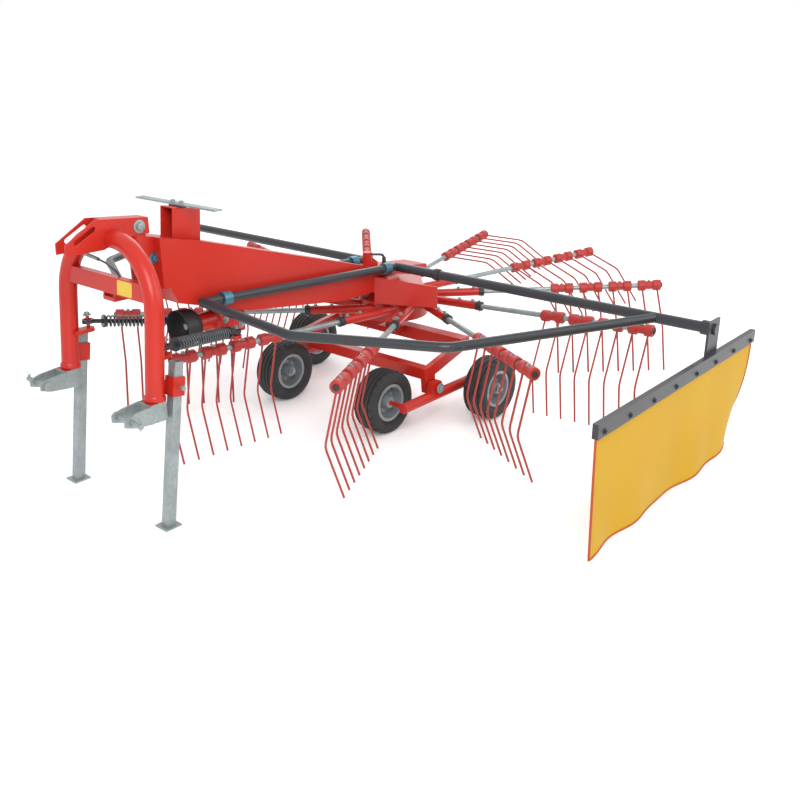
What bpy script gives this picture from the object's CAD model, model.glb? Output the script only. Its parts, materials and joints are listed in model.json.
import json
import math
import bpy
from mathutils import Matrix, Vector


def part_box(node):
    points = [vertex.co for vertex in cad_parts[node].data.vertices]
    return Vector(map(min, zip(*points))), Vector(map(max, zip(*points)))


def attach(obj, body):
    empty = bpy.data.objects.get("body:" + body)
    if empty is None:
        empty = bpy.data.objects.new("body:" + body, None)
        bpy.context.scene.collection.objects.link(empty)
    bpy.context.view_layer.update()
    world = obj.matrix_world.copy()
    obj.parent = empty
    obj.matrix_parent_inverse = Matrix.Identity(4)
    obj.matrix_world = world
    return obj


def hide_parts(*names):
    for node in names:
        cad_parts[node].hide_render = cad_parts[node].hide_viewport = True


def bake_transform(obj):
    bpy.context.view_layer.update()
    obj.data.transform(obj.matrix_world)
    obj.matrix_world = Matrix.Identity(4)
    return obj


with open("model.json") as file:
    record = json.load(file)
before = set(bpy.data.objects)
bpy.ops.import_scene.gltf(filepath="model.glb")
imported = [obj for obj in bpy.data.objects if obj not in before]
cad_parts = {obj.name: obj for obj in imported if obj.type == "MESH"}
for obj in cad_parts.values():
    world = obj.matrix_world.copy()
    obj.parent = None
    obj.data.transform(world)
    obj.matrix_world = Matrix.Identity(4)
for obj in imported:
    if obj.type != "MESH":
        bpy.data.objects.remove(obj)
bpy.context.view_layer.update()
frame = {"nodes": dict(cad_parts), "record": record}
record = frame["record"]
print("frame loaded:", len(frame["nodes"]), "nodes")

jointPlace = {j["name"]: j["pos_m"] for j in record["behaviour"]["joints"] if "pos_m" in j}
wheelFromDatum = Vector((0.077, 0.814, 0.2))
datum = Vector(jointPlace["wheel_rear_left_spin"]) - wheelFromDatum  # on the ground, under the beam's tail


def at(x, y, z):
    return datum + Vector((x, y, z)) / 1000  # millimetres from the datum


# focal length and frame are in pixels of the photo
cameraFit = {"place": (4666, 3970, 2313), "yaw": -139.5, "pitch": -21.7, "roll": -0.2, "focal": 918.2, "frame": 800,
             "sensor": 36, "far": 200}


def makeCamera():
    data = bpy.data.cameras.new("photoCamera")
    camera = bpy.data.objects.new("photoCamera", data)
    bpy.context.scene.collection.objects.link(camera)
    yaw, pitch = math.radians(cameraFit["yaw"]), math.radians(cameraFit["pitch"])
    way = Vector((math.cos(pitch) * math.cos(yaw), math.cos(pitch) * math.sin(yaw), math.sin(pitch)))
    turn = way.to_track_quat("-Z", "Y").to_matrix().to_4x4()
    roll = Matrix.Rotation(math.radians(cameraFit["roll"]), 4, "Z")
    camera.matrix_world = Matrix.Translation(at(*cameraFit["place"])) @ turn @ roll
    data.sensor_width = cameraFit["sensor"]
    data.lens = cameraFit["sensor"] * cameraFit["focal"] / cameraFit["frame"]
    data.clip_end = cameraFit["far"]
    bpy.context.scene.camera = camera


makeCamera()
bpy.context.scene.view_settings.view_transform = "Standard"
print("camera placed")


class Wire:
    def __init__(self, tree, socket=None):
        self.tree = tree
        self.socket = socket

    def node(self, kind, settings=None, inputs=None, out=0):
        made = self.tree.nodes.new(kind)
        for key, value in (settings or {}).items():
            setattr(made, key, value)
        for key, value in (inputs or {}).items():
            if isinstance(value, Wire):
                self.tree.links.new(value.socket, made.inputs[key])
            else:
                made.inputs[key].default_value = value
        return Wire(self.tree, made.outputs[out])

    def maths(self, operation, first, second):
        return self.node("ShaderNodeMath", {"operation": operation}, {0: first, 1: second})

    def __add__(self, other):
        return self.maths("ADD", self, other)

    def __radd__(self, other):
        return self.maths("ADD", other, self)

    def __mul__(self, other):
        return self.maths("MULTIPLY", self, other)


def place(wire):
    return wire.node("ShaderNodeTexCoord", out="Object")


def noise(wire, coords, scale, detail=3.0, rough=0.5):
    return wire.node("ShaderNodeTexNoise", None,
                     {"Vector": coords, "Scale": scale, "Detail": detail, "Roughness": rough}, "Fac")


def mixColour(wire, mask, first, second):
    return wire.node("ShaderNodeMix", {"data_type": "RGBA"}, {0: mask, 6: first, 7: second}, 2)


def ramp(wire, value, low, high):
    return wire.node("ShaderNodeMapRange", {"interpolation_type": "SMOOTHSTEP"},
                     {"Value": value, "From Min": low, "From Max": high})


def bump(wire, height, strength, distance):
    return wire.node("ShaderNodeBump", None, {"Height": height, "Strength": strength, "Distance": distance})


def finishMaterial(name, make, look):
    material = bpy.data.materials.new(name)
    material.use_nodes = True
    tree = material.node_tree
    tree.nodes.clear()
    output = tree.nodes.new("ShaderNodeOutputMaterial")
    shader = tree.nodes.new("ShaderNodeBsdfPrincipled")
    tree.links.new(shader.outputs[0], output.inputs[0])
    wire = Wire(tree)
    for key, value in make(wire, look).items():
        if isinstance(value, Wire):
            tree.links.new(value.socket, shader.inputs[key])
        else:
            shader.inputs[key].default_value = value
    return material


def paintFinish(wire, look):
    coords = place(wire)
    cloud = noise(wire, coords, look["cloud"], 4.0)
    grain = noise(wire, coords, look["grain"], 2.0)
    speck = ramp(wire, noise(wire, coords, 38.0, 6.0, 0.7), 0.62, 0.78)
    colour = mixColour(wire, cloud, look["deep"], look["base"])
    colour = mixColour(wire, speck * look["dust"], colour, (0.42, 0.36, 0.30, 1))
    return {"Base Color": colour, "Roughness": look["rough"] + cloud * 0.10 + speck * 0.12, "Metallic": look["metal"],
            "Coat Weight": look["coat"], "Coat Roughness": 0.12, "Specular IOR Level": 0.32,
            "Normal": bump(wire, grain, look["peel"], 0.0006)}


def zincFinish(wire, look):
    coords = place(wire)
    warp = noise(wire, coords, 26.0, 3.0)
    cells = wire.node("ShaderNodeTexVoronoi", None, {"Vector": coords, "Scale": look["spangle"]}, "Color")
    shade = wire.node("ShaderNodeRGBToBW", None, {0: cells})
    worn = ramp(wire, noise(wire, coords, 9.0, 5.0), 0.35, 0.75)
    colour = mixColour(wire, shade * 0.6 + warp * 0.4, look["deep"], look["base"])
    colour = mixColour(wire, worn * look["stain"], colour, look["tint"])
    return {"Base Color": colour, "Roughness": look["rough"] + shade * 0.16 + worn * 0.10, "Metallic": look["metal"],
            "Normal": bump(wire, noise(wire, coords, 420.0, 2.0), 0.12, 0.0004)}


def rubberFinish(wire, look):
    coords = place(wire)
    cloud = noise(wire, coords, 12.0, 5.0)
    grain = noise(wire, coords, 700.0, 2.0)
    dusty = ramp(wire, cloud, 0.45, 0.8)
    colour = mixColour(wire, dusty * look["dust"], look["base"], look["deep"])
    return {"Base Color": colour, "Roughness": look["rough"] + grain * 0.10, "Normal": bump(wire, grain, 0.25, 0.0005)}


def plasticFinish(wire, look):
    coords = place(wire)
    grain = noise(wire, coords, 900.0, 2.0)
    cloud = noise(wire, coords, 30.0, 3.0)
    colour = mixColour(wire, cloud, look["deep"], look["base"])
    return {"Base Color": colour, "Roughness": look["rough"] + grain * 0.14, "Normal": bump(wire, grain, 0.18, 0.0004)}


def clothFinish(wire, look):
    coords = place(wire)
    across = wire.node("ShaderNodeTexWave", {"bands_direction": "X"},
                       {"Vector": coords, "Scale": look["thread"], "Distortion": 0.6}, "Fac")
    along = wire.node("ShaderNodeTexWave", {"bands_direction": "Z"},
                      {"Vector": coords, "Scale": look["thread"], "Distortion": 0.6}, "Fac")
    weave = across * along
    cloud = noise(wire, coords, 3.5, 4.0)
    soil = ramp(wire, noise(wire, coords, 7.0, 6.0, 0.6), 0.5, 0.85)
    colour = mixColour(wire, cloud, look["deep"], look["base"])
    colour = mixColour(wire, soil * 0.18, colour, look["soil"])
    colour = mixColour(wire, weave * 0.12, colour, look["light"])
    return {"Base Color": colour, "Roughness": look["rough"] + weave * 0.10, "Specular IOR Level": 0.15,
            "Normal": bump(wire, weave, 0.35, 0.0012)}


looks = {
    "red_paint": (paintFinish, {"base": (0.46, 0.018, 0.009, 1), "deep": (0.39, 0.014, 0.007, 1),
                                "rough": 0.30, "cloud": 2.4, "grain": 240.0, "dust": 0.06,
                                "metal": 0.0, "coat": 0.12, "peel": 0.10}),
    "black_paint": (paintFinish, {"base": (0.028, 0.030, 0.036, 1), "deep": (0.020, 0.021, 0.026, 1),
                                  "rough": 0.34, "cloud": 3.0, "grain": 260.0, "dust": 0.12,
                                  "metal": 0.0, "coat": 0.20, "peel": 0.12}),
    "rim": (paintFinish, {"base": (0.27, 0.30, 0.32, 1), "deep": (0.20, 0.23, 0.25, 1),
                          "rough": 0.36, "cloud": 9.0, "grain": 260.0, "dust": 0.20,
                          "metal": 0.3, "coat": 0.10, "peel": 0.12}),
    "tine_wire": (paintFinish, {"base": (0.37, 0.034, 0.026, 1), "deep": (0.29, 0.028, 0.022, 1),
                                "rough": 0.36, "cloud": 14.0, "grain": 300.0, "dust": 0.16,
                                "metal": 0.0, "coat": 0.15, "peel": 0.10}),
    "black_spring": (paintFinish, {"base": (0.115, 0.128, 0.130, 1), "deep": (0.060, 0.068, 0.072, 1),
                                   "rough": 0.28, "cloud": 20.0, "grain": 300.0, "dust": 0.12,
                                   "metal": 0.4, "coat": 0.20, "peel": 0.08}),
    "galvanised": (zincFinish, {"base": (0.36, 0.41, 0.415, 1), "deep": (0.22, 0.26, 0.265, 1),
                                "tint": (0.18, 0.20, 0.195, 1), "spangle": 75.0, "rough": 0.36,
                                "metal": 0.6, "stain": 0.35}),
    "zinc_blue": (zincFinish, {"base": (0.07, 0.22, 0.30, 1), "deep": (0.035, 0.12, 0.18, 1),
                               "tint": (0.26, 0.28, 0.18, 1), "spangle": 160.0, "rough": 0.28,
                               "metal": 0.6, "stain": 0.20}),
    "tyre": (rubberFinish, {"base": (0.017, 0.018, 0.020, 1), "deep": (0.060, 0.056, 0.050, 1),
                            "rough": 0.62, "dust": 0.35}),
    "red_plastic": (plasticFinish, {"base": (0.40, 0.024, 0.018, 1), "deep": (0.32, 0.018, 0.014, 1), "rough": 0.42}),
    "black_plastic": (plasticFinish, {"base": (0.022, 0.022, 0.025, 1), "deep": (0.014, 0.014, 0.016, 1),
                                      "rough": 0.46}),
    "curtain_cloth": (clothFinish, {"base": (0.50, 0.290, 0.010, 1), "deep": (0.44, 0.245, 0.008, 1),
                                    "light": (0.58, 0.37, 0.03, 1), "soil": (0.30, 0.16, 0.03, 1),
                                    "thread": 160.0, "rough": 0.52}),
    "curtain_hem": (clothFinish, {"base": (0.42, 0.075, 0.024, 1), "deep": (0.34, 0.055, 0.020, 1),
                                  "light": (0.52, 0.14, 0.06, 1), "soil": (0.20, 0.06, 0.02, 1),
                                  "thread": 200.0, "rough": 0.55}),
    "blank_label": (plasticFinish, {"base": (0.62, 0.42, 0.035, 1), "deep": (0.57, 0.38, 0.030, 1), "rough": 0.35}),
}
slotOf = {entry["node"]: entry["material_slot"] for entry in record["subparts"]}
materials = {name: finishMaterial(name, make, look) for name, (make, look) in looks.items()}
for entry in record["subparts"]:
    node = frame["nodes"][entry["node"]]
    node.data.materials.clear()
    node.data.materials.append(materials[entry["material_slot"]])
print("finishes on", len(record["subparts"]), "nodes")


def startFresh():
    if bpy.context.mode != "OBJECT":
        bpy.ops.object.mode_set(mode="OBJECT")
    bpy.ops.object.select_all(action="DESELECT")


def pickOnly(obj):
    startFresh()
    obj.select_set(True)
    bpy.context.view_layer.objects.active = obj


def applyModifier(obj, kind, **settings):
    pickOnly(obj)
    modifier = obj.modifiers.new(kind.lower(), kind)
    for key, value in settings.items():
        setattr(modifier, key, value)
    bpy.ops.object.modifier_apply(modifier=modifier.name)


def settle(obj):
    pickOnly(obj)
    bpy.ops.object.transform_apply(location=True, rotation=True, scale=True)


def selectFaces(obj, test):
    bpy.ops.object.mode_set(mode="OBJECT")
    for vertex in obj.data.vertices:
        vertex.select = False
    for edge in obj.data.edges:
        edge.select = False
    for face in obj.data.polygons:
        face.select = test(face)
    bpy.ops.object.mode_set(mode="EDIT")
    bpy.ops.mesh.select_mode(type="FACE")


def copiesAt(pattern, turns):
    made = []
    for matrix in turns:
        pickOnly(pattern)
        bpy.ops.object.duplicate(linked=False)
        copy = bpy.context.view_layer.objects.active
        copy.matrix_world = matrix
        made.append(copy)
    bpy.data.objects.remove(pattern, do_unlink=True)
    return made


def joinAll(name, parts):
    startFresh()
    for part in parts:
        part.select_set(True)
    bpy.context.view_layer.objects.active = parts[0]
    if len(parts) > 1:
        bpy.ops.object.join()
    obj = bpy.context.view_layer.objects.active
    obj.name = name
    obj.data.name = name
    settle(obj)
    return obj


# names a piece, stands it in its place and brings its object back to the origin
def setDown(piece, name, matrix=None):
    if matrix is not None:
        piece.matrix_world = matrix
    piece.name = name
    settle(piece)
    return piece


def hand(obj, body, slot, finish=None, angle=35):
    pickOnly(obj)
    bpy.ops.object.shade_smooth_by_angle(angle=math.radians(angle))
    obj.data.materials.clear()
    obj.data.materials.append(materials[finish or slot])
    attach(obj, body)
    return obj


def facing(point, way, spin=0.0):
    turn = Vector(way).to_track_quat("Z", "Y").to_matrix().to_4x4()
    return Matrix.Translation(point) @ turn @ Matrix.Rotation(spin, 4, "Z")


# a lathe piece about Z from radius and height pairs in millimetres
def turned(profile, steps=24):
    startFresh()
    bpy.ops.mesh.primitive_circle_add(vertices=len(profile), radius=0.1)
    piece = bpy.context.object
    for vertex, (r, z) in zip(piece.data.vertices, profile):
        vertex.co = (r / 1000, 0, z / 1000)
    bpy.ops.object.mode_set(mode="EDIT")
    bpy.ops.mesh.select_all(action="SELECT")
    bpy.ops.mesh.spin(steps=steps, angle=2 * math.pi, center=(0, 0, 0), axis=(0, 0, 1))
    bpy.ops.mesh.select_all(action="SELECT")
    bpy.ops.mesh.remove_doubles(threshold=0.00002)
    bpy.ops.mesh.delete_loose()
    bpy.ops.mesh.select_all(action="SELECT")
    bpy.ops.mesh.normals_make_consistent(inside=False)
    bpy.ops.object.mode_set(mode="OBJECT")
    return piece


# a round wire along points, made from a ring that is cut open and given a thickness
def bentWire(points, radius, closed=False, fine=2):
    startFresh()
    bpy.ops.mesh.primitive_circle_add(vertices=len(points), radius=0.1)
    line = bpy.context.object
    for vertex, point in zip(line.data.vertices, points):
        vertex.co = point
    if not closed:
        ends = {0, len(points) - 1}
        for vertex in line.data.vertices:
            vertex.select = vertex.index in ends
        for edge in line.data.edges:
            edge.select = set(edge.vertices) == ends
        bpy.ops.object.mode_set(mode="EDIT")
        bpy.ops.mesh.select_mode(type="EDGE")
        bpy.ops.mesh.delete(type="EDGE")
        bpy.ops.object.mode_set(mode="OBJECT")
    bpy.ops.object.convert(target="CURVE")
    line = bpy.context.object
    line.data.bevel_depth = radius
    line.data.bevel_resolution = fine
    line.data.use_fill_caps = True
    bpy.ops.object.convert(target="MESH")
    return bpy.context.object


# across the flats, height and washer in metres
boltSizes = {"holder": (0.016, 0.009, 0.002), "curtain": (0.016, 0.007, 0.0025), "clamp": (0.018, 0.010, 0.002),
             "socket": (0.019, 0.010, 0.002), "wheel": (0.019, 0.011, 0.002), "plate": (0.022, 0.010, 0.002),
             "strut": (0.024, 0.012, 0.003), "axle": (0.030, 0.014, 0.003), "beam": (0.032, 0.016, 0.004),
             "pivot": (0.036, 0.014, 0.004)}


# a hexagon head on its washer, standing on the ground with its axis up
def hexBolt(size):
    across, height, washer = boltSizes[size]
    startFresh()
    bpy.ops.mesh.primitive_cylinder_add(vertices=6, radius=across / math.sqrt(3), depth=height,
                                        location=(0, 0, height / 2 + washer))
    head = bpy.context.object
    settle(head)
    selectFaces(head, lambda face: face.normal.z > 0.9)
    bpy.ops.mesh.inset(thickness=across * 0.09, depth=0)
    bpy.ops.transform.translate(value=(0, 0, height * 0.14))
    bpy.ops.object.mode_set(mode="OBJECT")
    bpy.ops.mesh.primitive_cylinder_add(vertices=20, radius=across * 0.92, depth=washer, location=(0, 0, washer / 2))
    ring = bpy.context.object
    settle(ring)
    selectFaces(ring, lambda face: face.normal.z > 0.9)
    bpy.ops.mesh.inset(thickness=across * 0.08, depth=0)
    bpy.ops.transform.translate(value=(0, 0, washer * 0.25))
    bpy.ops.object.mode_set(mode="OBJECT")
    return joinAll("hexPattern", [head, ring])


def boltRow(name, body, places, size, finish="galvanised"):
    turns = [facing(point, way, i * 0.7) for i, (point, way) in enumerate(places)]  # heads at differing angles
    return hand(joinAll(name, copiesAt(hexBolt(size), turns)), body, finish)


# places and their mirror images across the beam, right side first, each facing outward
def bothSides(*places):
    return [(at(x, s * y, z), (0, s, 0)) for s in (-1, 1) for x, y, z in places]


tyreShape = {"steps": 72, "axle": 200, "wheels": {"front_left": (700, 446), "front_right": (700, -446),
                                                  "rear_left": (77, 814), "rear_right": (77, -814)},
             # radius and distance from the middle, in millimetres, from the bead to the crown
             "half": [(105.6, 0), (105.6, 50), (106, 58), (119, 58.6), (122, 64), (132, 74.5), (146, 80.5), (164, 82.3),
                      (178, 80), (188, 73.5), (194, 66), (197, 58), (198.2, 50), (193.2, 48.6), (193.2, 43),
                      (198.9, 41.6), (199.6, 30), (199.8, 20.5), (194.2, 19), (194.2, 13.5), (200, 12), (200, 0)],
             "lugDepth": 0.0032, "lugEvery": 3, "lugRadius": (0.189, 0.1985), "lugSide": 0.052}


def makeTyre():
    half, steps = tyreShape["half"], tyreShape["steps"]
    loop = half + [(r, -y) for r, y in reversed(half[1:-1])]
    startFresh()
    bpy.ops.mesh.primitive_circle_add(vertices=len(loop), radius=0.1)
    tyre = bpy.context.object
    for vertex, (r, y) in zip(tyre.data.vertices, loop):
        vertex.co = (r / 1000, y / 1000, 0)
    bpy.ops.object.mode_set(mode="EDIT")
    bpy.ops.mesh.select_all(action="SELECT")
    bpy.ops.mesh.spin(steps=steps, angle=2 * math.pi, center=(0, 0, 0), axis=(0, 1, 0))
    bpy.ops.mesh.select_all(action="SELECT")
    bpy.ops.mesh.remove_doubles(threshold=0.00005)
    bpy.ops.mesh.normals_make_consistent(inside=False)

    # every third shoulder face is cut in, which leaves a row of lugs on each side
    def isGroove(face):
        middle = face.center
        low, high = tyreShape["lugRadius"]
        step = int(round(math.atan2(middle.z, middle.x) / (2 * math.pi) * steps - 0.5)) % steps
        shift = 0 if middle.y > 0 else 1
        onShoulder = low < math.hypot(middle.x, middle.z) < high and abs(middle.y) > tyreShape["lugSide"]
        return onShoulder and (step + shift) % tyreShape["lugEvery"] == 0
    selectFaces(tyre, isGroove)
    bpy.ops.mesh.extrude_region_shrink_fatten(TRANSFORM_OT_shrink_fatten={"value": -tyreShape["lugDepth"]})
    bpy.ops.object.mode_set(mode="OBJECT")
    return tyre


tyreTurns = [Matrix.Translation(at(x, y, tyreShape["axle"])) for x, y in tyreShape["wheels"].values()]
for wheel, tyre in zip(tyreShape["wheels"], copiesAt(makeTyre(), tyreTurns)):
    hand(setDown(tyre, "tyreTread_" + wheel), "wheel_" + wheel, "tyre", angle=30)
    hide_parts("tyre_" + wheel)
print("tyres made")

wheelTrim = {"boltCircle": 62, "bolts": 5, "discOut": 5.0, "discIn": 9.0}
for wheel, (x, y) in tyreShape["wheels"].items():
    spots = []
    for i in range(wheelTrim["bolts"]):
        angle = 2 * math.pi * i / wheelTrim["bolts"]
        dx, dz = wheelTrim["boltCircle"] * math.cos(angle), wheelTrim["boltCircle"] * math.sin(angle)
        spots.append((at(x + dx, y + wheelTrim["discOut"], tyreShape["axle"] + dz), (0, 1, 0)))
        spots.append((at(x + dx, y - wheelTrim["discIn"], tyreShape["axle"] + dz), (0, -1, 0)))
    boltRow("wheelNuts_" + wheel, "wheel_" + wheel, spots, "wheel")
print("wheel nuts made")

# pins, seats and coil in millimetres
strutShape = {"rear": (1580, 150, 804), "front": (2175, 338, 904), "seat": 90, "clear": 0.4, "radius": 29, "wire": 4.6,
              "sides": 10, "turns": 21, "steps": 16, "frontNut": 34, "rearNut": 16.2}


def strutPin(end, sign, up=0):
    x, y, z = strutShape[end]
    return at(x, sign * y, z + up)


def makeSpring(side):
    sign = 1 if side == "left" else -1
    rear, front = strutPin("rear", sign), strutPin("front", sign)
    way = (front - rear).normalized()
    wire = strutShape["wire"] / 1000
    margin = (strutShape["seat"] + strutShape["wire"] + strutShape["clear"]) / 1000
    low = rear + way * margin
    length = (front - rear).length - 2 * margin
    startFresh()
    bpy.ops.mesh.primitive_circle_add(vertices=strutShape["sides"], radius=wire,
                                      location=(strutShape["radius"] / 1000, 0, 0), rotation=(math.pi / 2, 0, 0))
    spring = bpy.context.object
    settle(spring)
    applyModifier(spring, "SCREW", axis="Z", angle=2 * math.pi, screw_offset=length / strutShape["turns"],
                  iterations=strutShape["turns"], steps=strutShape["steps"], render_steps=strutShape["steps"],
                  use_merge_vertices=False)
    bpy.ops.object.mode_set(mode="EDIT")
    bpy.ops.mesh.select_all(action="DESELECT")
    bpy.ops.mesh.select_mode(type="EDGE")
    bpy.ops.mesh.select_non_manifold()
    bpy.ops.mesh.fill_holes(sides=0)
    bpy.ops.mesh.select_all(action="SELECT")
    bpy.ops.mesh.normals_make_consistent(inside=False)
    bpy.ops.object.mode_set(mode="OBJECT")
    setDown(spring, "coilSpring_" + side, facing(low, way))
    bpy.ops.object.shade_smooth_by_angle(angle=math.radians(50))
    spring.data.materials.clear()
    spring.data.materials.append(materials["black_spring"])
    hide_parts("strut_spring_" + side)
    tuple(low + way * length)
    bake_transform(spring)


for side in ("left", "right"):
    makeSpring(side)
print("springs made")

# folds are depth share, count along the cloth, phase and twist toward the hem
curtainShape = {"columns": 96, "rows": 40, "thick": 0.0022, "wave": 0.022, "stiff": 1.3,
                "folds": [(0.55, 19, 0.8, 0), (0.25, 31, 2.1, 1), (0.5, 9, 0.3, 0)], "sway": (0.010, 5.2, 1.1),
                "sag": (0.006, 9, 0.3), "curl": 0.13, "curlFrom": 0.22, "curlUp": 0.045, "hem": 0.006, "hemRows": 30,
                "boltEvery": 0.235, "boltIn": 0.06, "boltUp": 0.022}


def wave(u, depth, count, phase):
    return depth * math.sin(u * count + phase)


def makeCurtain():
    low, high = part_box("curtain")
    width, height = high.x - low.x, high.z - low.z
    middle = (low + high) / 2
    startFresh()
    bpy.ops.mesh.primitive_grid_add(x_subdivisions=curtainShape["columns"], y_subdivisions=curtainShape["rows"], size=1)
    cloth = bpy.context.object

    def hang(u, v):
        # folds grow from nothing at the bar to their full depth at the hem
        down = 1 - v
        fold = sum(wave(u, depth, count, phase + twist * down) for depth, count, phase, twist in curtainShape["folds"])
        out = (fold * curtainShape["wave"] + wave(u, *curtainShape["sway"])) * down ** curtainShape["stiff"]
        curl = (max(0, 1 - u / curtainShape["curlFrom"]) * down) ** 2  # the rear corner hangs inward
        return Vector((low.x + u * width, middle.y + out - curl * curtainShape["curl"],
                       low.z + v * height + down * wave(u, *curtainShape["sag"]) + curl * curtainShape["curlUp"]))
    for vertex in cloth.data.vertices:
        vertex.co = hang(vertex.co.x + 0.5, vertex.co.y + 0.5)
    applyModifier(cloth, "SOLIDIFY", thickness=curtainShape["thick"], offset=0.0)
    cloth.name = "curtainCloth"
    hand(cloth, "guard_left", "curtain_cloth", angle=80)

    # a bound hem runs round the three free edges
    rows, columns = curtainShape["hemRows"], curtainShape["columns"]
    edge = [(0, 1 - i / rows) for i in range(rows + 1)]
    edge += [(i / columns, 0) for i in range(1, columns + 1)]
    edge += [(1, i / rows) for i in range(1, rows + 1)]
    hem = setDown(bentWire([hang(u, v) for u, v in edge], curtainShape["hem"]), "curtainHem")
    hand(hem, "guard_left", "curtain_cloth", "curtain_hem", 80)
    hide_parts("curtain")
    return width, height


def boltCurtain():
    low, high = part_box("curtain_bar")
    count = int((high.x - low.x) / curtainShape["boltEvery"])
    span = high.x - low.x - 2 * curtainShape["boltIn"]
    spots = []
    for i in range(count + 1):
        x = low.x + curtainShape["boltIn"] + span * i / count
        spots.append((Vector((x, high.y, low.z + curtainShape["boltUp"])), (0, 1, 0)))
    boltRow("curtainBolts", "guard_left", spots, "curtain", "black_paint")


curtainFlat = makeCurtain()
boltCurtain()
print("curtain made, flat size", curtainFlat)

# millimetres and degrees, as in the part's source
rotorTrim = {"axis": 87, "tilt": 1.25, "first": -6, "offset": 160, "height": 627, "rise": 2.75, "end": 1805,
             "last": 1727, "pitch": 194, "pairs": 4, "arms": 11, "waist": 26, "liftMax": 75, "liftUp": (50, 185),
             "liftDown": (195, 224), "socketEnd": 580, "socketTop": 27.4, "socketBolts": (440, 545), "pinOut": 18,
             "crown": (205, 80), "crownSlope": (50, 60), "crownBolts": 12}
armRange = range(rotorTrim["arms"])


def ease(t):
    return (1 - math.cos(math.pi * min(1, max(0, t)))) / 2


# the cam lifts an arm slowly and drops it fast
def liftOf(angle):
    start, top = rotorTrim["liftUp"]
    leave, end = rotorTrim["liftDown"]
    share = (angle - start) / (top - start) if angle < leave else (end - angle) / (end - leave)
    return rotorTrim["liftMax"] * ease(share)


rotorTilt = Matrix.Rotation(math.radians(rotorTrim["tilt"]), 4, "Y")
rotorFrame = Matrix.Translation(at(rotorTrim["axis"], 0, rotorTrim["height"])) @ rotorTilt


def armFrame(k):
    angle = rotorTrim["first"] + 360 * k / rotorTrim["arms"]
    turn = Matrix.Rotation(math.radians(angle), 4, "Z")
    step = Matrix.Translation((0, rotorTrim["offset"] / 1000, 0))
    rise = Matrix.Rotation(math.radians(-rotorTrim["rise"]), 4, "Y")
    return rotorFrame @ turn @ (step @ rise), angle


def alongArm(k, distance, up=0.0):
    return armFrame(k)[0] @ Matrix.Translation((distance / 1000, 0, up / 1000))


# the middle of each double tine, turned by its arm's lift
def tinePlaces():
    places = []
    for k in armRange:
        base, angle = armFrame(k)
        lifted = Matrix.Rotation(math.radians(-liftOf(angle)), 4, "X")
        for i in range(rotorTrim["pairs"]):
            along = rotorTrim["last"] - (rotorTrim["pairs"] - 1 - i) * rotorTrim["pitch"]
            places.append(base @ Matrix.Translation((along / 1000, 0, 0)) @ lifted)
    return places


tineTurns = tinePlaces()
boltTurns = [turn @ Matrix.Translation((0, 0, rotorTrim["waist"] / 1000)) for turn in tineTurns]
hand(joinAll("holderBolts", copiesAt(hexBolt("holder"), boltTurns)), "rotor", "galvanised")
print("holder bolts made")

tineShape = {"gap": 97, "root": 24, "knee": (0, -78, -340), "tip": (0, 18, -618), "round": 26, "thick": 0.0064}


# two prongs of one double tine, hanging from the arm's middle
def tinePair():
    knee, tip = Vector(tineShape["knee"]), Vector(tineShape["tip"])
    down, back = knee.normalized(), (tip - knee).normalized()
    above, below = knee - down * tineShape["round"], knee + back * tineShape["round"]
    line = [down * tineShape["root"], above, (above + below + knee * 2) / 4, below, tip]
    prongs = []
    for s in (-1, 1):
        side = Vector((s * tineShape["gap"] / 2, 0, 0))
        prongs.append(bentWire([(point + side) / 1000 for point in line], tineShape["thick"], False, 1))
    return joinAll("tinePair", prongs)


tinePairs = copiesAt(tinePair(), tineTurns)
for k in armRange:
    first = k * rotorTrim["pairs"]
    tines = joinAll("armTines_" + str(k + 1), tinePairs[first:first + rotorTrim["pairs"]])
    hand(tines, "rotor", "tine_wire", angle=70)
    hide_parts("tines_" + str(k + 1))
print("tines made")

capShape = [(0, 0.2), (18.5, 0.2), (18.5, 3), (17, 6), (12, 8), (0, 8.5)]
capTurn = Matrix.Rotation(math.pi / 2, 4, "Y")
capTurns = [alongArm(k, rotorTrim["end"]) @ capTurn for k in armRange]
hand(joinAll("armCaps", copiesAt(turned(capShape, 20), capTurns)), "rotor", "black_plastic")
socketTurns = [alongArm(k, s, rotorTrim["socketTop"]) for k in armRange for s in rotorTrim["socketBolts"]]
hand(joinAll("socketBolts", copiesAt(hexBolt("socket"), socketTurns)), "rotor", "galvanised")
crownTurns = []
for i in range(rotorTrim["crownBolts"]):
    around = Matrix.Rotation(2 * math.pi * (i + 0.5) / rotorTrim["crownBolts"], 4, "Z")
    lean = Matrix.Rotation(math.atan2(*rotorTrim["crownSlope"]), 4, "Y")
    out, up = rotorTrim["crown"]
    crownTurns.append(rotorFrame @ around @ Matrix.Translation((out / 1000, 0, up / 1000)) @ lean)
hand(joinAll("crownBolts", copiesAt(hexBolt("socket"), crownTurns)), "rotor", "galvanised")

# length, radius and ring radius in millimetres
pinSizes = {"collar": (78, 3.5, 14), "hitch": (50, 4, 17), "stand": (36, 7, 16)}


# a locking pin with its ring, standing on Z
def ringPin(size, points=18):
    length, thick, ring = pinSizes[size]
    half, head = length / 2, thick * 1.7
    pin = turned([(0, -half), (thick * 0.7, -half), (thick, -half + 3), (thick, half - 8),
                  (head, half - 6), (head, half), (0, half + 1)], 12)
    loop = []
    for i in range(points):
        angle = 2 * math.pi * i / points
        up = half - 3 + ring * (1 + math.sin(angle)) * 0.55
        loop.append(Vector((0, ring * math.cos(angle) / 1000, up / 1000)))
    return joinAll("ringPin", [pin, bentWire(loop, 0.0016, True, 0)])


collarTurns = [alongArm(k, rotorTrim["socketEnd"] + rotorTrim["pinOut"]) for k in armRange]
hand(joinAll("collarPins", copiesAt(ringPin("collar"), collarTurns)), "rotor", "galvanised")
print("rotor trim made")

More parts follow.
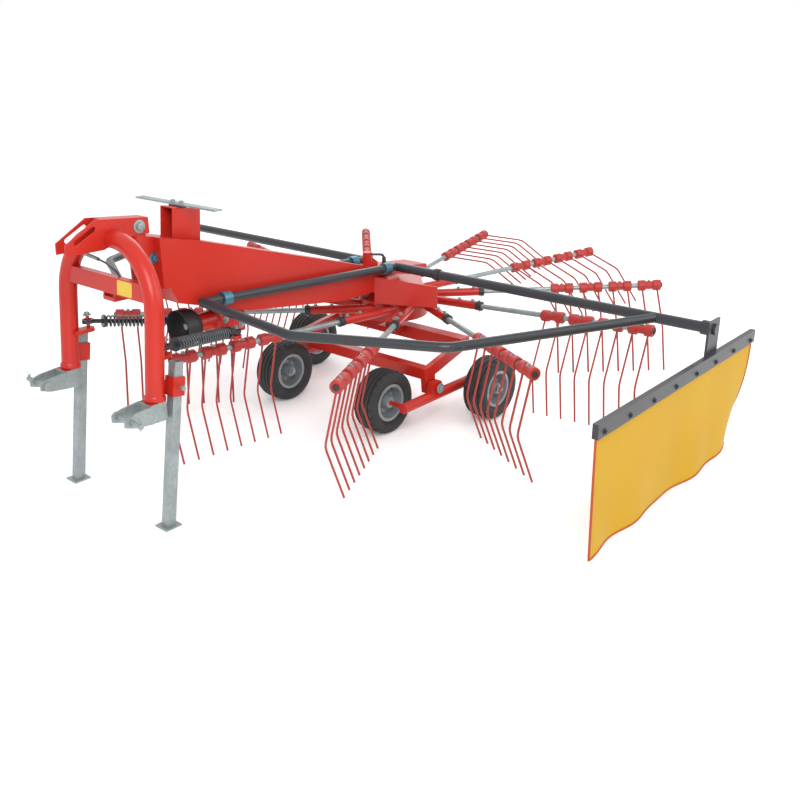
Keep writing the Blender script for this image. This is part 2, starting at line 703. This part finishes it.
headTrim = {"lean": 6.5, "foot": (2294, 620), "hitch": (2464, 496, 620), "bracketPin": (2052, 45, 1436),
            "standFoot": 2315, "standLean": 9.5, "standPin": (738, 449.4), "standPinOut": 0.018}
headLean = math.radians(headTrim["lean"])
headFacing = Vector((math.cos(headLean), 0, math.sin(headLean)))


def headX(z):
    return headTrim["foot"][0] - (z - headTrim["foot"][1]) * math.tan(headLean)


hitchX, hitchY, hitchZ = headTrim["hitch"]
hitchTurns = [Matrix.Translation(at(hitchX, s * hitchY, hitchZ)) for s in (-1, 1)]
hand(joinAll("hitchLinchpins", copiesAt(ringPin("hitch"), hitchTurns)), "headstock", "galvanised")
standWay = math.radians(headTrim["standLean"])
standUp, standOut = headTrim["standPin"]
standTurns = []
for s in (-1, 1):
    spot = at(headTrim["standFoot"] - standUp * math.sin(standWay), s * standOut, standUp * math.cos(standWay))
    standTurns.append(facing(spot + Vector((0, s * headTrim["standPinOut"], 0)), (0, s, 0)))
hand(joinAll("standPins", copiesAt(ringPin("stand"), standTurns)), "headstock", "galvanised")
frontNuts = [(strutPin("front", s, strutShape["frontNut"]), (0, 0, 1)) for s in (-1, 1)]
boltRow("strutFrontNuts", "headstock", frontNuts, "strut")
rearNuts = [(strutPin("rear", s, strutShape["rearNut"]), (0, 0, 1)) for s in (-1, 1)]
boltRow("strutRearNuts", "frame", rearNuts, "strut")
boltRow("bracketPins", "headstock", bothSides(headTrim["bracketPin"]), "pivot")

stickerShape = {"place": (171, 1178), "size": (0.122, 0.072), "corner": 0.008, "thick": 0.0006, "out": 0.0252}


# a blank sticker with rounded corners on the crossbar
def makeSticker():
    startFresh()
    bpy.ops.mesh.primitive_plane_add(size=1)
    sticker = bpy.context.object
    sticker.scale = (*stickerShape["size"], 1)
    settle(sticker)
    bpy.ops.object.mode_set(mode="EDIT")
    bpy.ops.mesh.select_all(action="SELECT")
    bpy.ops.mesh.bevel(offset=stickerShape["corner"], segments=4, affect="VERTICES")
    bpy.ops.mesh.select_all(action="SELECT")
    bpy.ops.mesh.extrude_region_move(TRANSFORM_OT_translate={"value": (0, 0, stickerShape["thick"])})
    bpy.ops.mesh.select_all(action="SELECT")
    bpy.ops.mesh.normals_make_consistent(inside=False)
    bpy.ops.object.mode_set(mode="OBJECT")
    y, z = stickerShape["place"]
    setDown(sticker, "blankSticker", facing(at(headX(z), y, z) + headFacing * stickerShape["out"], headFacing))
    hand(sticker, "headstock", "red_plastic", "blank_label")


makeSticker()

# the lock's rod, from its sleeved end to the crossbar
lockShape = {"path": [(2215, -204, 1291), (2215, -93, 1281), (2213, -33, 1270), (2215, 60, 1240), (2217, 85, 1216)],
             "rod": 0.005, "sleeve": 0.010}
lockPath = [at(*point) for point in lockShape["path"]]
hand(setDown(bentWire(lockPath, lockShape["rod"]), "lockRod"), "headstock", "black_paint")
sleevePath = [lockPath[0], (lockPath[0] + lockPath[1]) / 2, lockPath[1]]
hand(setDown(bentWire(sleevePath, lockShape["sleeve"]), "lockSleeve"), "headstock", "galvanised")

# a fine skin over the bent tube, from one foot block to the other, and a collar at each foot
archShape = {"top": (2205.4, 1398), "half": 375, "bend": 320, "radius": 0.0466, "foot": 668, "steps": 24,
             "collar": [(46.2, 0), (52, 0), (53.5, 4), (52.5, 20), (48, 27), (46.2, 27)]}


def archPoint(fall, y):
    x, z = archShape["top"]
    return at(x + fall * math.sin(headLean), y, z - fall * math.cos(headLean))


def makeArch():
    bend, half = archShape["bend"], archShape["half"]
    fallFoot = (archShape["top"][1] - archShape["foot"]) / math.cos(headLean)
    path = [(fallFoot, half), ((fallFoot + bend) / 2, half)]
    for i in range(archShape["steps"] + 1):
        angle = math.pi / 2 * i / archShape["steps"]
        path.append((bend - bend * math.sin(angle), half - bend + bend * math.cos(angle)))
    path += [(fall, -y) for fall, y in reversed(path)]
    arch = setDown(bentWire([archPoint(fall, y) for fall, y in path], archShape["radius"], False, 16), "archSkin")
    hand(arch, "headstock", "red_paint", angle=40)
    up = (archPoint(0, 0) - archPoint(1, 0)).normalized()
    ringTurns = [facing(archPoint(fallFoot, s * half), up) for s in (-1, 1)]
    rings = copiesAt(turned(archShape["collar"], 40), ringTurns)
    hand(joinAll("footCollars", rings), "headstock", "red_paint", angle=40)


makeArch()

strapShape = {"middle": (2304, 375, 620), "size": (0.092, 0.102, 0.096), "wall": 0.005, "edge": 0.0015}


# a zinc strap round each foot block
def makeStrap(side):
    x, y, z = strapShape["middle"]
    startFresh()
    bpy.ops.mesh.primitive_cube_add(size=1, location=at(x, y if side == "left" else -y, z))
    strap = bpy.context.object
    strap.scale = strapShape["size"]
    settle(strap)
    selectFaces(strap, lambda face: abs(face.normal.z) > 0.9)
    bpy.ops.mesh.delete(type="FACE")
    bpy.ops.object.mode_set(mode="OBJECT")
    applyModifier(strap, "SOLIDIFY", thickness=strapShape["wall"], offset=-1.0)
    applyModifier(strap, "BEVEL", width=strapShape["edge"], segments=2)
    strap.name = "footStrap_" + side
    return hand(strap, "headstock", "galvanised")


for side in ("left", "right"):
    makeStrap(side)
print("headstock trim made")

frameTrim = {"clampBolts": ((300, 137, 935), (342, 137, 937)), "beamBolt": (1985, 46, 1266),
             "rackBolt": (1780, 34, 1513.2), "boxBolts": ((1465, 65, 800), (1465, 65, 850), (1575, 65, 850)),
             "frontAxle": (700, 374, 200), "rearAxle": (77, 886, 200), "pivot": (420, 675, 255)}
boltRow("clampBolts", "frame", bothSides(*frameTrim["clampBolts"]), "clamp", "zinc_blue")
boltRow("beamBolts", "frame", bothSides(frameTrim["beamBolt"]), "beam", "zinc_blue")
boltRow("rackBolts", "frame", [(spot, (0, 0, 1)) for spot, way in bothSides(frameTrim["rackBolt"])], "plate")
boltRow("boxBolts", "frame", bothSides(*frameTrim["boxBolts"]), "plate")
frontAxleNuts = [(spot, (0, -way[1], 0)) for spot, way in bothSides(frameTrim["frontAxle"])]  # these face the beam
boltRow("axleNuts", "frame", frontAxleNuts + bothSides(frameTrim["rearAxle"]), "axle")
boltRow("pivotNuts", "frame", bothSides(frameTrim["pivot"]), "pivot")

gripShape = {"place": (272, 85, 923), "steps": 20,
             "half": [(0, -3), (10, -3), (13, 2), (13.5, 26), (13, 50), (10, 55), (8.4, 55), (8.4, 0), (0, 0)]}
grip = turned(gripShape["half"], gripShape["steps"])
hand(setDown(grip, "crankGrip", Matrix.Translation(at(*gripShape["place"]))), "frame", "black_plastic")

valveShape = {"up": 84, "out": 11, "steps": 12,
              "half": [(0, -3), (4.5, -3), (4.5, 16), (5.8, 17), (5.8, 28), (4.5, 30), (0, 30)]}
for wheel, (x, y) in tyreShape["wheels"].items():
    out = 1 if y > 0 else -1
    if wheel.startswith("front"):
        out = -out  # the front wheels' discs face the beam
    stem = turned(valveShape["half"], valveShape["steps"])
    spot = at(x, y + out * valveShape["out"], tyreShape["axle"] + valveShape["up"])
    hand(setDown(stem, "valveStem_" + wheel, facing(spot, (0, out, 0))), "wheel_" + wheel, "black_plastic")

bandShape = {"place": (220, 485, 912.8), "steps": 28,
             "half": [(29.5, -20), (35, -20), (37, -17), (37, 17), (35, 20), (29.5, 20)]}
band = turned(bandShape["half"], bandShape["steps"])
hand(setDown(band, "tubeBand", facing(at(*bandShape["place"]), (0, 1, 0))), "guard_left", "black_plastic")
print("frame trim made")

# radius and distance along the shaft from the bearing box, in millimetres
bellShape = {"start": (1600, 0, 850),
             "bell": [(29.4, 128), (48, 128), (66, 133), (82, 146), (93, 166), (98.6, 192), (100, 215), (100, 250),
                      (97, 250), (97, 215), (95.6, 193), (90, 169), (79.5, 149), (65, 136.5), (48, 131.5),
                      (29.4, 131.5)],
             "nose": [(29.4, 0.2), (72, 0.2), (72, 9), (60, 14), (52, 22), (50, 118), (55, 121), (55, 127.6),
                      (29.4, 127.6)]}
shaftTurn = facing(at(*bellShape["start"]), (1, 0, 0))
bell = setDown(turned(bellShape["bell"], 48), "shaftBell", shaftTurn)
hand(bell, "frame", slotOf["shaft_guard"], angle=40)
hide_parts("shaft_guard")
hand(setDown(turned(bellShape["nose"], 40), "shaftNose", shaftTurn), "frame", "red_paint")

# corners of the side: rear low, front low, front top, rear top
towerShape = {"side": [(1692, 1304), (1868, 1346), (1850, 1503), (1676, 1478)], "half": 52, "wall": 0.008,
              "edge": 0.003, "pad": (1780, 0, 1493), "padSize": (0.046, 0.092, 0.0236)}


def makeTower():
    startFresh()
    bpy.ops.mesh.primitive_cube_add(size=2)
    tower = bpy.context.object
    corner = {(-1, -1): 0, (1, -1): 1, (1, 1): 2, (-1, 1): 3}
    for vertex in tower.data.vertices:
        x, z = towerShape["side"][corner[(round(vertex.co.x), round(vertex.co.z))]]
        vertex.co = at(x, vertex.co.y * towerShape["half"], z)
    selectFaces(tower, lambda face: face.normal.x > 0.7)
    bpy.ops.mesh.delete(type="FACE")
    bpy.ops.mesh.select_all(action="SELECT")
    bpy.ops.mesh.normals_make_consistent(inside=False)
    bpy.ops.object.mode_set(mode="OBJECT")
    applyModifier(tower, "SOLIDIFY", thickness=towerShape["wall"], offset=-1.0)
    applyModifier(tower, "BEVEL", width=towerShape["edge"], segments=2)
    tower.name = "towerShell"
    hand(tower, "frame", "red_paint")
    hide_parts("tower")


def makeRackPad():
    startFresh()
    bpy.ops.mesh.primitive_cube_add(size=1, location=at(*towerShape["pad"]))
    pad = bpy.context.object
    pad.scale = towerShape["padSize"]
    settle(pad)
    applyModifier(pad, "BEVEL", width=towerShape["edge"], segments=2)
    pad.name = "rackPad"
    hand(pad, "frame", "black_paint")


makeTower()
makeRackPad()
print("bell and tower made")

# lamps are place, power and size
stageSet = {"floor": 60, "pale": (0.94, 0.94, 0.94, 1), "white": (0.96, 0.96, 0.96, 1), "glow": 0.07, "sky": 1.0,
            "aim": (0, 0, 0.6), "lamps": {"keyLight": ((5.5, 5.0, 6.0), 420, 4.0),
                                          "fillLight": ((-3.0, 6.0, 4.5), 160, 5.0),
                                          "backLight": ((-5.0, -4.0, 5.0), 160, 5.0)}}


def floorFinish(wire, look):
    cloud = noise(wire, place(wire), 0.6, 2.0)
    return {"Base Color": mixColour(wire, cloud, look["pale"], look["white"]), "Roughness": 0.9,
            "Emission Color": (1, 1, 1, 1), "Emission Strength": look["glow"]}


def makeStage():
    startFresh()
    bpy.ops.mesh.primitive_plane_add(size=stageSet["floor"], location=(0, 0, 0))
    floor = bpy.context.object
    floor.name = "paleFloor"
    floor.data.materials.append(finishMaterial("paleFloor", floorFinish, stageSet))
    world = bpy.data.worlds.new("softSky")
    bpy.context.scene.world = world
    world.use_nodes = True
    world.node_tree.nodes["Background"].inputs["Color"].default_value = (1, 1, 1, 1)
    world.node_tree.nodes["Background"].inputs["Strength"].default_value = stageSet["sky"]
    for name, (spot, power, size) in stageSet["lamps"].items():
        data = bpy.data.lights.new(name, "AREA")
        data.energy = power
        data.size = size
        lamp = bpy.data.objects.new(name, data)
        bpy.context.scene.collection.objects.link(lamp)
        lamp.location = spot
        lamp.rotation_euler = (Vector(stageSet["aim"]) - Vector(spot)).to_track_quat("-Z", "Y").to_euler()


makeStage()
startFresh()
print("scene done")
